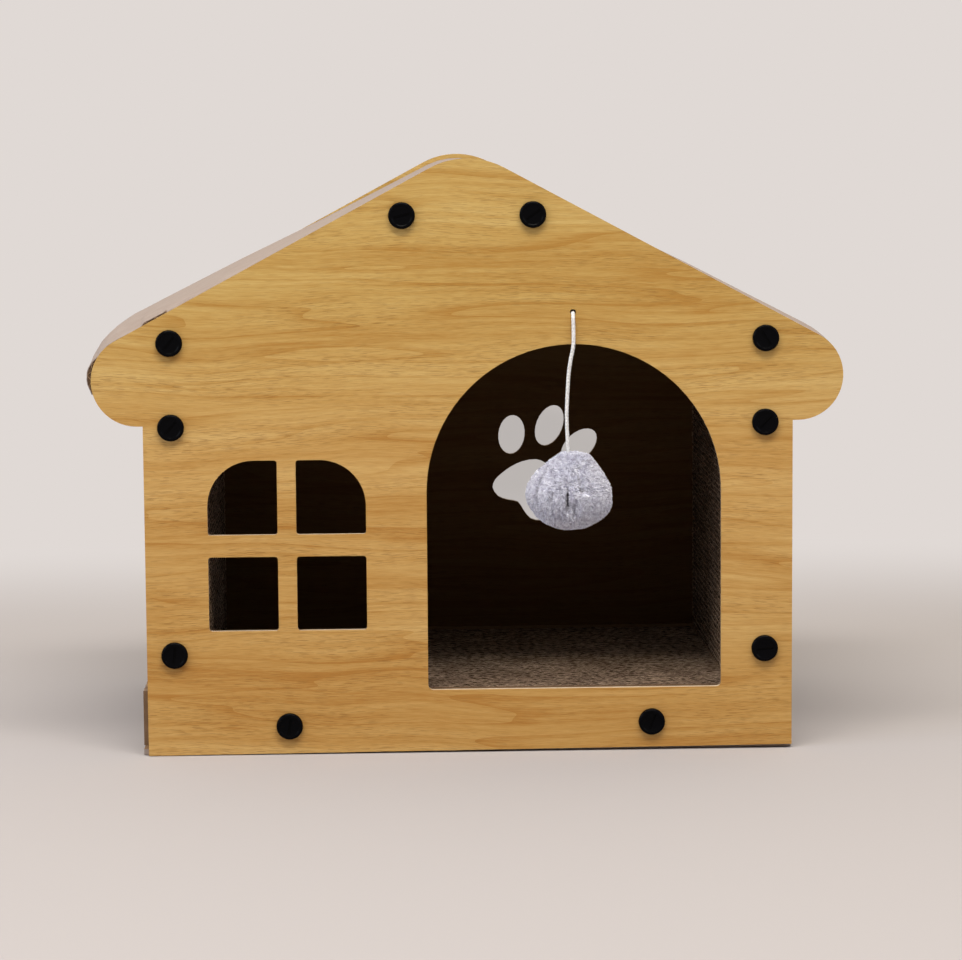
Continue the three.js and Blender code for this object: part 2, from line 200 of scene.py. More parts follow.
def thicken(bm, thickness):
    faceOutwards(bm)
    bmesh.ops.solidify(bm, geom=bm.faces, thickness=thickness)
    faceOutwards(bm)


def finished(name, bm, materials, body, replaces, smooth=None):
    bmesh.ops.scale(bm, vec=(1 / metre, 1 / metre, 1 / metre), verts=bm.verts)
    mesh = bpy.data.meshes.new(name)
    bm.to_mesh(mesh)
    bm.free()
    for material in materials:
        mesh.materials.append(material)
    if smooth:  # degrees past which an edge stays sharp
        mesh.shade_smooth()
        mesh.set_sharp_from_angle(angle=math.radians(smooth))
    obj = bpy.data.objects.new(name, mesh)
    scene.collection.objects.link(obj)
    if body:
        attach(obj, body)
    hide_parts(*replaces)
    return obj


# Camera: fitted to the photograph's edges, in metres and degrees

cameraView = {"place": (-0.061, -2.238, 0.423), "yaw": 1.88, "pitch": 6.50, "roll": -0.42,
              "focalPixels": 3170, "imageWidth": 962, "sensor": 36.0}

yaw, pitch, roll = (math.radians(cameraView[key]) for key in ("yaw", "pitch", "roll"))
ahead = Vector((math.sin(yaw) * math.cos(pitch), math.cos(yaw) * math.cos(pitch), -math.sin(pitch)))
right = Vector((math.cos(yaw), -math.sin(yaw), 0))
upward = right.cross(ahead)
across = right * math.cos(roll) + upward * math.sin(roll)
overhead = upward * math.cos(roll) - right * math.sin(roll)
lens = bpy.data.cameras.new("camera")
lens.sensor_width = cameraView["sensor"]
lens.lens = cameraView["focalPixels"] / cameraView["imageWidth"] * cameraView["sensor"]
camera = bpy.data.objects.new("camera", lens)
scene.collection.objects.link(camera)
axes = Matrix((across, overhead, -ahead)).transposed().to_4x4()
camera.matrix_world = Matrix.Translation(cameraView["place"]) @ axes
scene.camera = camera
print("camera placed")


# Cord: elastic cord in a braided cover, knotted behind the front board, over the arch to the ball

cordPiece = {
    "diameter": 2.6, "sides": 16, "step": 0.4, "curveSteps": 24, "ribHeight": 0.1, "ribs": 4, "ribTurn": 1.4,
    "holeX": 69.7, "holeZ": 295.2, "plane": -141.9, "lift": -0.5,
    "bend": 4.2, "bendAngles": (0.0, 0.4, 0.8, 1.2, math.pi / 2),  # out of the hole and down
    "knotY": -131.5, "knotReach": 2.9, "knotDepth": 1.1, "knotPoints": 60,
    "upper": [(69.8, 286.5), (69.9, 280), (69.8, 274.5), (69.5, 271.5)],
    "lower": [(69.5, 271.5), (68.9, 268.2), (67.9, 263.6), (66.5, 253.6), (65.5, 238), (65.1, 224.7),
              (65.6, 211.5), (66.3, 198.5)],
    "cover": "#eef0f2", "shade": "#cdcccd", "strandSize": (0.71, 0.71, 1.43), "strandDepth": 0.2,
}


def smoothRoute(points, size):  # an even Catmull-Rom line through the points
    ends = [points[0] * 2 - points[1], *points, points[-1] * 2 - points[-2]]
    fine, slack = [], 1e-9
    for a, b, c, d in zip(ends, ends[1:], ends[2:], ends[3:]):
        for i in range(size["curveSteps"]):
            t = i / size["curveSteps"]
            fine.append(((2 * b) + (c - a) * t + (2 * a - 5 * b + 4 * c - d) * t * t
                         + (3 * b - a - 3 * c + d) * t ** 3) / 2)
    fine.append(points[-1])
    length = sum((q - p).length for p, q in zip(fine, fine[1:]))
    count = max(2, round(length / size["step"]))
    route, walked, target = [fine[0]], 0.0, 1
    for p, q in zip(fine, fine[1:]):
        gap = (q - p).length
        while target <= count and walked + gap >= length * target / count - slack:
            route.append(p.lerp(q, (length * target / count - walked) / gap))
            target += 1
        walked += gap
    return route


def cordRoutes(size):  # the lengths above and below the arch, and a trefoil knot behind the board
    high = size["holeZ"] + size["lift"]
    upper = [Vector((size["holeX"], size["knotY"], high))]
    for angle in size["bendAngles"]:
        upper.append(Vector((size["holeX"], size["plane"] + size["bend"] * (1 - math.sin(angle)),
                             high - size["bend"] * (1 - math.cos(angle)))))
    upper += [Vector((x, size["plane"], z)) for x, z in size["upper"]]
    lower = [Vector((x, size["plane"], z)) for x, z in size["lower"]]
    knot, centre = [], Vector((size["holeX"], size["knotY"], size["holeZ"]))
    for i in range(size["knotPoints"] + 1):
        t = math.tau * (i % size["knotPoints"]) / size["knotPoints"]
        loop = Vector((math.sin(t) + 2 * math.sin(2 * t), -size["knotDepth"] * math.sin(3 * t),
                       math.cos(t) - 2 * math.cos(2 * t)))
        knot.append(centre + loop * size["knotReach"] / 3)
    return smoothRoute(upper, size), smoothRoute(lower, size), knot


def braidedTube(route, size):  # a ring extruded along the route, ribbed like a braid
    bm = bmesh.new()
    sides, radius = size["sides"], size["diameter"] / 2
    tangent = (route[1] - route[0]).normalized()
    side = tangent.orthogonal().normalized()
    ring = bmesh.ops.create_circle(bm, segments=sides, radius=1, cap_ends=False)["verts"]
    edges = list(bm.edges)
    walked = 0.0
    for i, place in enumerate(route):
        if i:
            edges, ring = extendedEdges(bm, edges, ring)
            walked += (place - route[i - 1]).length
            tangent = (route[min(i + 1, len(route) - 1)] - route[i - 1]).normalized()
            side = (side - tangent * side.dot(tangent)).normalized()
        third = tangent.cross(side)
        for k, v in enumerate(ring):
            angle = math.tau * k / sides
            weave = math.sin(size["ribs"] * angle + size["ribTurn"] * walked)
            weave *= math.sin(size["ribs"] * angle - size["ribTurn"] * walked)
            reach = radius + size["ribHeight"] * (weave - 0.5)
            v.co = place + (side * math.cos(angle) + third * math.sin(angle)) * reach
    bmesh.ops.holes_fill(bm, edges=[e for e in bm.edges if e.is_boundary], sides=0)
    faceOutwards(bm)
    return bm


def braidedCover(size):
    # Braided polyester over rubber: off-white thread with soft shaded gaps between the strands
    material, shader, add = newMaterial("braidedPolyester", size["cover"], 0.75, {"Sheen Weight": 0.3})
    strands = cloudy(add, size["strandSize"])
    lit = add("MapRange", (strands, 0.35, 0.65))
    colour = add("Mix", {"Factor": lit, "A": size["shade"], "B": size["cover"]}, data_type="RGBA")
    relief = add("Bump", {"Height": strands, "Distance": size["strandDepth"] / metre, "Strength": 0.6})
    setInputs(shader, {"Base Color": colour, "Normal": relief})
    return material


def cordLength(name, node, route, body=None):
    return finished(name, braidedTube(route, cordPiece), [cover], body, [node], smooth=60)


cover = braidedCover(cordPiece)
upperRoute, lowerRoute, knotRoute = cordRoutes(cordPiece)
cordKnot = cordLength("cordKnot", "cord_knot", knotRoute, "house")
cordUpper = cordLength("cordUpper", "cord_upper", upperRoute)
cordLower = cordLength("cordLower", "cord_lower", lowerRoute)
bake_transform(cordUpper)
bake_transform(cordLower)
print("cord laid:", len(upperRoute), "and", len(lowerRoute), "points")


# Printed oak on the end boards

oakPrint = {
    "light": "#cba668", "middle": "#bc9150", "deep": "#ab7836", "pore": "#7c5424", "roughness": 0.5,
    # length and height of each kind of figure in the grain, in millimetres
    "bandSize": (450, 26), "streakSize": (110, 3), "fibreSize": (14, 0.5), "ringSize": (550, 34), "rings": 9,
    "poreSize": (9, 0.34), "poreGroupSize": (110, 17),  # coarser than real pores, so that they show
    "waverSize": (250, 250, 143), "waver": 6, "toothSize": 1.11, "toothDepth": 0.2,
    "upper": (1.03, 1.15, 1.18, 1), "upperZ": (200, 310),  # the colour turns a little lighter, paler and yellower towards the ridge
    "slope": 0.535, "slopeEdge": (396.5, 397.5), "ridgeEdge": (390.3, 390.7),  # where the roof covers it
}
# painted shade: the inside of the back board is darkened below the roof line, standing in for the shade
# inside the house
oakInside = dict(oakPrint, roughness=0.8, paintedShade=(0.22, 0.187, 0.176, 1))


def oakMaterial(name, oak):
    # Gravure-printed paper with a satin varnish: soft bands, thin ring lines and short pore dashes
    material, shader, add = newMaterial(name, oak["middle"], oak["roughness"], {"Specular IOR Level": 0.25})
    place = add("TexCoord").outputs["Object"]
    parts = add("SeparateXYZ", (place,))
    height, waver = parts.outputs["Z"], oak["waver"] / metre
    shift = cloudy(add, oak["waverSize"], span=(0.3, 0.7), levels=(-waver, waver), place=place)
    shift = add("CombineXYZ", {"Z": shift})
    bent = add("VectorMath", (place, shift), operation="ADD")
    tone = cloudy(add, oak["bandSize"], span=(0.3, 0.7), levels=(0.3, 0.8), place=bent)
    for size, detail in ((oak["streakSize"], 4.0), (oak["fibreSize"], 3.0)):
        lines = cloudy(add, size, detail, 0.6, (0.3, 0.7), (-0.2, 0.2), bent)
        tone = add("Math", (tone, lines))
    rings = cloudy(add, oak["ringSize"], place=bent)
    rings = add("Math", (rings, oak["rings"]), operation="MULTIPLY")
    rings = add("Math", (rings,), operation="FRACT")
    rings = add("MapRange", (rings, 0.0, 0.3, -0.3, 0.0))
    tone = add("Math", (tone, rings))
    colour = add("ValToRGB", (tone,), [(0.05, oak["deep"]), (0.45, oak["middle"]), (0.95, oak["light"])])
    pores = cloudy(add, oak["poreSize"], 1.0, span=(0.565, 0.62), place=bent)
    groups = cloudy(add, oak["poreGroupSize"], 1.0, span=(0.38, 0.62), levels=(0.15, 0.5), place=bent)
    dashes = add("Math", (pores, groups), operation="MULTIPLY")
    colour = add("Mix", {"Factor": dashes, "A": colour, "B": oak["pore"]}, data_type="RGBA")
    rise = add("MapRange", (height, *(z / metre for z in oak["upperZ"])))
    upper = add("Mix", {"Factor": rise, "A": white, "B": oak["upper"]}, data_type="RGBA")
    colour = add("Mix", {"Factor": 1.0, "A": colour, "B": upper}, data_type="RGBA", blend_type="MULTIPLY")
    if "paintedShade" in oak:  # painted shade under the roof; the strip that stands above it is left unshaded
        side = add("Math", (parts.outputs["X"],), operation="ABSOLUTE")
        above = add("Math", (side, oak["slope"], height), operation="MULTIPLY_ADD")
        unshaded = 0.0
        for value, edge in ((above, oak["slopeEdge"]), (height, oak["ridgeEdge"])):
            unshaded = add("Math", (unshaded, add("MapRange", (value, *(z / metre for z in edge)))))
        paintedShade = add("Mix", {"Factor": unshaded, "A": oak["paintedShade"], "B": white}, data_type="RGBA")
        colour = add("Mix", {"Factor": 1.0, "A": colour, "B": paintedShade}, data_type="RGBA", blend_type="MULTIPLY")
    tooth = cloudy(add, oak["toothSize"])
    relief = add("Bump", {"Height": tooth, "Distance": oak["toothDepth"] / metre, "Strength": 0.12})
    setInputs(shader, {"Base Color": colour, "Normal": relief})
    return material


oakFrontMaterial = oakMaterial("printedOak", oakPrint)
oakInsideMaterial = oakMaterial("printedOakInside", oakInside)


# Papers of the corrugated board

paperTones = {  # light and dark tone, roughness, and size of the clouds in millimetres
    "whiteTopLiner": ("#a2948c", "#96877f", 0.7, 11),
    "kraftLiner": ("#94775a", "#7a6048", 0.9, 30),
    "cutPaper": ("#dfceb8", "#bfa684", 0.85, 6),
    "flutedMedium": ("#a08468", "#856a50", 0.9, 8),
    "shadedFlutes": ("#6b5440", "#553f2e", 0.95, 8),
}
paperFibre = {"size": 1.1, "depth": 0.2}


def paperMaterial(name, light, dark, roughness, mottle):
    # Uncoated paper: matt, faintly cloudy, with a fine fibre tooth
    material, shader, add = newMaterial(name, light, roughness, {"Specular IOR Level": 0.2})
    cloud = cloudy(add, mottle, 3.0, span=(0.3, 0.7), levels=(0.2, 0.8))
    fibre = cloudy(add, paperFibre["size"], 2.0, 0.7)
    fleck = add("MapRange", (fibre, 0.2, 0.8, -0.35, 0.35))
    tone = add("Math", (cloud, fleck))
    colour = add("Mix", {"Factor": tone, "A": dark, "B": light}, data_type="RGBA")
    relief = add("Bump", {"Height": fibre, "Distance": paperFibre["depth"] / metre, "Strength": 0.3})
    setInputs(shader, {"Base Color": colour, "Normal": relief})
    return material


linerMaterial, kraftMaterial, cutMaterial, fluteMaterial, coreMaterial = (
    paperMaterial(name, *tones) for name, tones in paperTones.items())


# Boards: two liners with a fluted medium between them

board = {
    "thickness": 4.0, "liner": 0.5, "medium": 0.4, "bite": 0.05,  # how far the flutes reach into the liners
    "pitch": 7.95, "slices": 8, "mediumSize": (504, 400), "mediumZ": 199,
    "recess": 0.4, "levelShare": 0.85,  # of the core behind the cut edges, and the share a level edge lacks
    "halfDepth": 140.0, "halfBody": 216.3, "edgeLift": 2.3, "ground": 0.01,
}


def wavySheet(size):  # flutes along X, waves along Z, lying in the XZ plane
    bm = bmesh.new()
    length, width = size["mediumSize"]
    reach = size["thickness"] / 2 - size["liner"] - size["medium"] / 2 + size["bite"]
    count = round(width / size["pitch"] * size["slices"])
    bmesh.ops.create_grid(bm, x_segments=1, y_segments=count, size=0.5)
    for v in bm.verts:
        z = v.co.y * width
        v.co = (v.co.x * length, reach * math.sin(math.tau * z / size["pitch"]), z)
    bm.normal_update()
    bmesh.ops.solidify(bm, geom=bm.faces, thickness=size["medium"])
    faceOutwards(bm)
    return bm


def endBoard(name, node, side, outside, inside):  # side is -1 for the front and 1 for the back
    size = board
    outerY, innerY = side * size["halfDepth"], side * (size["halfDepth"] - size["thickness"])
    middle, parts, skinY = (outerY + innerY) / 2, [], side * size["liner"]

    def shaped():
        bm = copyOf(node)
        for v in bm.verts:  # the front's lower edge stands a little clear of the ground towards the right
            if v.co.z < size["ground"] and side < 0:
                v.co.z = size["edgeLift"] * (v.co.x + size["halfBody"]) / (2 * size["halfBody"])
        return bm

    for number, near, far in ((0, outerY, outerY - skinY), (1, innerY, innerY + skinY)):
        skin = shaped()
        for v in skin.verts:
            v.co.y = near if (v.co.y - middle) * (near - middle) > 0 else far
        for face in skin.faces:
            face.material_index = number if abs(face.normal.y) > 0.5 else 2
        parts.append((skin, None))
    medium = wavySheet(size)
    bmesh.ops.translate(medium, vec=(0, middle, size["mediumZ"]), verts=medium.verts)
    parts.append((combined(medium, shaped(), "INTERSECT"), 3))
    core = shaped()  # what closes the flutes a little behind the cut edges
    core.normal_update()
    for v in core.verts:
        ways = []
        for face in v.link_faces:
            way = Vector((face.normal.x, 0, face.normal.z))
            if way.length > 0.5 and all((way.normalized() - other).length > 0.02 for other in ways):
                ways.append(way.normalized())
        turn = ways[0].dot(ways[1]) if len(ways) == 2 else 0
        way = sum(ways, Vector()) / (1 + turn)
        half = size["thickness"] / 2 - size["liner"] - size["bite"]
        v.co -= way * size["recess"] * (1 - size["levelShare"] * min(1.0, way.z ** 2))
        v.co.y = middle + (half if v.co.y > middle else -half)
    for face in core.faces:
        face.material_index = 2 if abs(face.normal.z) > 0.5 else 4
    parts.append((core, None))
    materials = [outside, inside, cutMaterial, fluteMaterial, coreMaterial]
    return finished(name, merged(parts), materials, "house", [node])


frontBoard = endBoard("frontBoard", "front_panel", -1, oakFrontMaterial, kraftMaterial)
backBoard = endBoard("backBoard", "back_panel", 1, oakFrontMaterial, oakInsideMaterial)
print("end boards made:", len(frontBoard.data.polygons), "and", len(backBoard.data.polygons), "faces")


# Roof sheet: one board over the ridge that curls round both eaves, with flaps behind the end boards

roof = {
    "eaveX": 219.9, "eaveZ": 252.0, "apexZ": 344.9, "eaveRadii": (33.4, 30.1), "ridgeRadius": 49.3,
    "curl": 17, "arcSteps": 64, "half": 135.8, "facet": 0.2, "slopeFacetShare": 0.15,
    "flapEnd": 12.6, "flapWidth": 37.0, "flapCorner": 9.0,
    "fold": 3.0, "foldSteps": 4, "foldOverlap": 0.6, "foldStart": (39.0, 16.0),
    "rows": (-1, -0.97, -0.9, -0.75, -0.5, 0, 0.5, 0.75, 0.9, 0.97, 1), "edgePower": 4,
    # offsets by the distance up the slope from where the eave's curve ends, negative round the curve
    "bulge": [(-47, -2.2), (-30, 0.9), (-20, 2.6), (0, 3.0), (90, 2.8), (150, 1.0), (200, 0)],
    "edge": [(-47, -2.2), (-36, 0), (-28, 0), (-17, -3.0), (0, -3.1), (19, -2.9), (22, -1.2), (37, -1.1),
             (40, -0.4), (90, 0)],
}


def between(table, place):  # straight lines between the rows of a table
    for (a, p), (b, q) in zip(table, table[1:]):
        if place <= b:
            return p + (q - p) * max(0.0, place - a) / (b - a)
    return table[-1][1]


def roofLine(size):  # even rows of point, outward normal, distance, and offset in the middle and at the edges
    centres = [Vector((-size["eaveX"], 0, size["eaveZ"])), Vector((0, 0, size["apexZ"])),
               Vector((size["eaveX"], 0, size["eaveZ"]))]
    gap = (centres[1] - centres[0]).length
    rise = math.atan2(size["apexZ"] - size["eaveZ"], size["eaveX"])
    ridge = size["ridgeRadius"]
    slopes = [rise + math.acos((radius - ridge) / gap) for radius in size["eaveRadii"]]
    curl = math.radians(size["curl"])
    arcs = [(centres[0], size["eaveRadii"][0], math.pi + curl, slopes[0]),
            (centres[1], ridge, slopes[0], math.pi - slopes[1]),
            (centres[2], size["eaveRadii"][1], math.pi - slopes[1], -curl)]
    corners, marks, walked = [], [], 0.0
    for centre, radius, start, stop in arcs:
        for i in range(size["arcSteps"] + 1):
            angle = start + (stop - start) * i / size["arcSteps"]
            normal = Vector((math.cos(angle), 0, math.sin(angle)))
            point = centre + normal * radius
            if corners:
                walked += (point - corners[-1][0]).length
            corners.append((point, normal, walked))
            if i in (0, size["arcSteps"]):
                marks.append(walked)
    count = round(walked / (board["pitch"] / board["slices"]))
    line, k = [], 0
    for i in range(count + 1):
        target = walked * i / count
        while k < len(corners) - 2 and corners[k + 1][2] < target:
            k += 1
        (p, n, a), (q, m, b) = corners[k], corners[k + 1]
        t = min(1.0, (target - a) / max(b - a, 1e-9))
        left, right = target - marks[1], marks[4] - target
        way = n.lerp(m, t).normalized()
        crest = 1 - (2 * (target / board["pitch"] % 1) - 1) ** 2  # flat between the flutes' crests
        curved = left < 0 or right < 0 or marks[2] < target < marks[3]
        flat = size["facet"] * crest * (1 if curved else size["slopeFacetShare"])
        line.append((p.lerp(q, t) - way * flat, way, target,
                     between(size["bulge"], min(left, right)), between(size["edge"], left)))
    return line, [(marks[1] + size["foldStart"][0], marks[2] - size["flapEnd"]),
                  (marks[3] + size["flapEnd"], marks[4] - size["foldStart"][1])]


def layerAlong(line, depthOf, endOf, thickness):  # a strip under the line, endOf wide on either side
    bm = bmesh.new()
    rows = roof["rows"]
    bmesh.ops.create_grid(bm, x_segments=len(line) - 1, y_segments=len(rows) - 1, size=1)
    for v in bm.verts:
        i, j = round((v.co.x + 1) / 2 * (len(line) - 1)), round((v.co.y + 1) / 2 * (len(rows) - 1))
        p, n, s, bulge, edge = line[i]
        share = rows[j] ** roof["edgePower"]
        v.co = p + n * (bulge * (1 - share) + edge * share - depthOf(s))
        v.co.y = rows[j] * endOf(s)
    thicken(bm, thickness)
    return bm


def flapCorners(size, side, radius):  # corners of a roof flap, from the fold inwards
    centre = Vector((side * size["eaveX"], 0, size["eaveZ"]))
    gap = math.hypot(size["apexZ"] - size["eaveZ"], size["eaveX"])
    drop = radius - size["ridgeRadius"]
    angle = math.atan2(size["apexZ"] - size["eaveZ"], size["eaveX"]) + math.acos(drop / gap)
    normal = Vector((side * -math.cos(angle), 0, math.sin(angle)))
    along = Vector((-side * math.sin(angle), 0, -math.cos(angle)))
    length = math.sqrt(gap ** 2 - drop ** 2)
    end, corner, width = size["flapEnd"], size["flapCorner"], size["flapWidth"]
    places = [(end, size["fold"]), (length - end, size["fold"]), (length - end, width - corner),
              (length - end - corner, width), (end + corner, width), (end, width - corner)]
    return [centre + normal * (radius - depth) + along * distance for distance, depth in places]


def roundedFold(size, span, end, skin):  # a quarter turn from the roof's edge down to its flap
    folded = size["half"] - size["fold"]
    bm = bmesh.new()
    chain = [bm.verts.new(p + n * edge + Vector((0, end * folded, 0))) for p, n, s, bulge, edge in span]
    edges = [bm.edges.new(pair) for pair in zip(chain, chain[1:])]
    for i in range(1, size["foldSteps"] + 1):
        angle = math.pi / 2 * i / size["foldSteps"]
        edges, chain = extendedEdges(bm, edges, chain)
        for v, (p, n, s, bulge, edge) in zip(chain, span):
            v.co = p + n * (edge - size["fold"] * (1 - math.cos(angle)))
            v.co.y = end * (folded + size["fold"] * math.sin(angle))
    thicken(bm, skin)
    return bm


def roofPiece():
    size, skin, middle = roof, board["liner"], board["thickness"] / 2
    line, zones = roofLine(size)

    def endOf(s):
        return size["half"] - (size["fold"] if any(a <= s <= b for a, b in zones) else 0)

    def closed(s):  # the filling stands back behind the cut edges
        return endOf(s) - board["recess"]

    def wave(s):  # the layer's outer face
        reach = middle - skin - board["medium"] / 2 + board["bite"]
        return middle - board["medium"] / 2 + reach * math.sin(math.tau * s / board["pitch"])

    filling = board["thickness"] - 2 * (skin + board["bite"])
    parts = [(layerAlong(line, lambda s: 0, endOf, skin), 0),
             (layerAlong(line, wave, endOf, board["medium"]), 2),
             (layerAlong(line[1:-1], lambda s: skin + board["bite"], closed, filling), 3),
             (layerAlong(line, lambda s: board["thickness"] - skin, endOf, skin), 1)]
    for end in (-1, 1):
        for a, b in zones:
            span = [row for row in line if a - size["foldOverlap"] <= row[2] <= b + size["foldOverlap"]]
            parts.append((roundedFold(size, span, end, skin), 0))
        for side, radius in zip((-1, 1), size["eaveRadii"]):
            flap = bmesh.new()
            edge = Vector((0, end * size["half"], 0))
            face = flap.faces.new([flap.verts.new(p + edge) for p in flapCorners(size, side, radius)])
            made = bmesh.ops.extrude_face_region(flap, geom=[face])["geom"]
            moved = [v for v in made if isinstance(v, bmesh.types.BMVert)]
            bmesh.ops.translate(flap, vec=(0, -end * board["thickness"], 0), verts=moved)
            faceOutwards(flap)
            parts.append((flap, 1))
    materials = [linerMaterial, kraftMaterial, fluteMaterial, coreMaterial]
    return finished("roofSheet", merged(parts), materials, "house", ["roof_sheet"], smooth=40)


roofSheet = roofPiece()
print("roof sheet made:", len(roofSheet.data.polygons), "faces")


# Walls and base: boards with a rounded crease where each flap turns in

creases = {"radius": 2.6, "segments": 4, "shortest": 20, "foldY": 135, "flapY": 135.5}
foldedSheets = {  # node, outward side, axis of its folds, how far out they lie and how far along they go
    "leftWall": ("left_wall", (-1, 0, 0), 2, 216, 400),
    "rightWall": ("right_wall", (1, 0, 0), 2, 216, 400),
    "baseSheet": ("base_sheet", (0, 0, -1), 0, -0.1, 205),
}


def foldedSheet(name, node, outward, axis, level, reach):
    size, outward = creases, Vector(outward)
    bm = copyOf(node)
    bmesh.ops.dissolve_limit(bm, angle_limit=math.radians(1), verts=bm.verts, edges=bm.edges)

    def isFold(edge):
        way = edge.verts[1].co - edge.verts[0].co
        return (abs(way[axis]) > 0.99 * way.length and way.length > size["shortest"]
                and all(v.co.dot(outward) > level and abs(v.co.y) > size["foldY"] and abs(v.co[axis]) < reach
                        for v in edge.verts))

    bmesh.ops.bevel(bm, geom=[e for e in bm.edges if isFold(e)], offset=size["radius"], offset_type="OFFSET",
                    segments=size["segments"], profile=0.5, affect="EDGES", material=-1)
    bmesh.ops.triangulate(bm, faces=[f for f in bm.faces if len(f.verts) > 4])
    for face in bm.faces:
        atFlap = abs(face.calc_center_median().y) > size["flapY"]
        face.material_index = 0 if atFlap or face.normal.dot(outward) > 0.02 else 1
    return finished(name, bm, [linerMaterial, kraftMaterial], "house", [node], smooth=30)


for name, sheet in foldedSheets.items():
    foldedSheet(name, *sheet)
print("walls and base made")


# Scratch pads: strips of corrugated board glued side by side, cut across the flutes

pads = {
    "thickness": 37.0, "strip": 4.0, "liner": 0.45, "medium": 0.45, "pitch": 7.95, "slices": 5,
    "lean": 1.3, "stray": 0.8, "turnShare": 0.4,  # how the flutes shift from strip to strip
    "wear": 0.6, "contrast": 1.4, "tuft": (4.2, 1.3), "open": 7.0,
    # the wall and flute colours are painted shade, standing in for the shade deep between the papers
    "cut": ("#b49b85", "#866f5d"), "wall": "#46372b", "fluteShade": "#453629", "side": ("#8c6f56", "#7b624b"),
    "linerFray": 0.32, "fluteFray": 0.06,  # depth of the pale frayed edge, past which the painted shade begins
    "patchSize": 16.7, "fuzzSize": 1.43, "fuzzDepth": 0.3,
}


def padMaterial(name, tones, wall=None, fray=0.0):
    # Unbleached test liner cut with a saw: matt brown, pale on its frayed edges, with painted shade down in
    # the flutes
    material, shader, add = newMaterial(name, tones[0], 0.95, {"Specular IOR Level": 0.1})
    patch = cloudy(add, pads["patchSize"], 3.0, span=(0.3, 0.7))
    fuzz = cloudy(add, pads["fuzzSize"], 2.0, 0.7)
    fleck = add("MapRange", (fuzz, 0.2, 0.8, -0.5, 0.5))
    tone = add("Math", (patch, fleck))
    colour = add("Mix", {"Factor": tone, "A": tones[1], "B": tones[0]}, data_type="RGBA")
    if wall:  # edge is 1 on the cut edges and open ends, and falls to 0 half way through the pad; the painted shade lies where it is low
        share = fray / (pads["thickness"] / 2)
        edge = add("Attribute", attribute_name="edge").outputs["Fac"]
        edge = add("Math", (edge,), operation="ABSOLUTE")
        edge = add("Math", (fleck, 0.8 * share, edge), operation="MULTIPLY_ADD")
        edge = add("MapRange", (edge, 1 - 1.3 * share, 1 - 0.5 * share))
        colour = add("Mix", {"Factor": edge, "A": wall, "B": colour}, data_type="RGBA")
    relief = add("Bump", {"Height": fuzz, "Distance": pads["fuzzDepth"] / metre, "Strength": 0.5})
    setInputs(shader, {"Base Color": colour, "Normal": relief})
    return material


padPapers = [padMaterial("sawnTestLiner", pads["cut"], pads["wall"], pads["linerFray"]),
             padMaterial("testLiner", pads["side"]),
             padMaterial("sawnFlutes", pads["cut"], pads["fluteShade"], pads["fluteFray"])]


def padPiece(name, node, body, lengthAxis, seed):  # strips run along that axis, flutes across the thickness
    low, high = boxOf(node)
    size, draw = pads, random.Random(seed)
    extent = high - low
    depthAxis = 2 if lengthAxis == 0 else 0
    length, depth, stack = extent[lengthAxis], extent[depthAxis], extent[3 - lengthAxis - depthAxis]
    count = round(stack / size["strip"])
    strip = stack / count
    along, across = size["tuft"]
    bm = bmesh.new()
    edge = bm.verts.layers.float.new("edge")

    def paper(segments, placeOf, thickness, row, number, share=1.0):
        # One sheet on edge, its cut edges worn unevenly, with its own noise on either side of the pad
        made = bmesh.ops.create_grid(bm, x_segments=segments, y_segments=1, size=0.5)["verts"]
        faces = list({face for v in made for face in v.link_faces})
        for v in made:
            x, end = v.co.x * length, 1 if v.co.y > 0 else -1
            wear = noise.noise(Vector((x / along, row / across, seed + end * 9)))
            wear = size["wear"] * share * min(1.0, max(0.0, 0.5 + size["contrast"] * wear))
            v[edge] = end if abs(x) < length / 2 - size["open"] else 1
            v.co = (x, placeOf(x) - thickness / 2, end * (depth / 2 - wear))
        for face in faces:
            face.normal_update()
            face.material_index = number
        bmesh.ops.solidify(bm, geom=faces, thickness=thickness)

    phase, lean = 0.0, size["lean"]
    segments = round(length / size["pitch"] * size["slices"])
    reach = (strip - size["liner"] - size["medium"]) / 2
    for i in range(count):
        phase += lean + draw.uniform(-size["stray"], size["stray"])
        if draw.random() < size["turnShare"]:  # strips lean one way for a while, then the other
            lean = -lean
        centre = (i + 0.5) * strip - stack / 2
        paper(segments, lambda x: centre + reach * math.sin(math.tau * x / size["pitch"] + phase),
              size["medium"], i, 2)
    for i in range(count + 1):
        inner = 0 < i < count
        thick = size["liner"] if inner else size["liner"] / 2
        centre = i * strip - stack / 2 + (thick / 2 if i == 0 else -thick / 2 if i == count else 0)
        paper(segments // 3, lambda x: centre, thick, i - 0.5, 0 if inner else 1, 1 if inner else 0)
    faceOutwards(bm)
    turn = Matrix.Identity(3)
    if lengthAxis == 1:  # a wall pad: strips along Y, stacked up the wall, flutes across
        turn = Matrix(((0, 0, 1), (1, 0, 0), (0, 1, 0)))
    bmesh.ops.transform(bm, matrix=Matrix.Translation((low + high) / 2) @ turn.to_4x4(), verts=bm.verts)
    return finished(name, bm, padPapers, body, [node])


floorPad = padPiece("floorPad", "floor_pad", "floor_pad", 0, 11)
padPiece("leftSidePad", "left_side_pad", "house", 1, 12)
rightPad = padPiece("rightSidePad", "right_side_pad", "house", 1, 13)
print("pads made:", len(floorPad.data.polygons), "and", len(rightPad.data.polygons), "faces")


# Coin rivets and their nuts

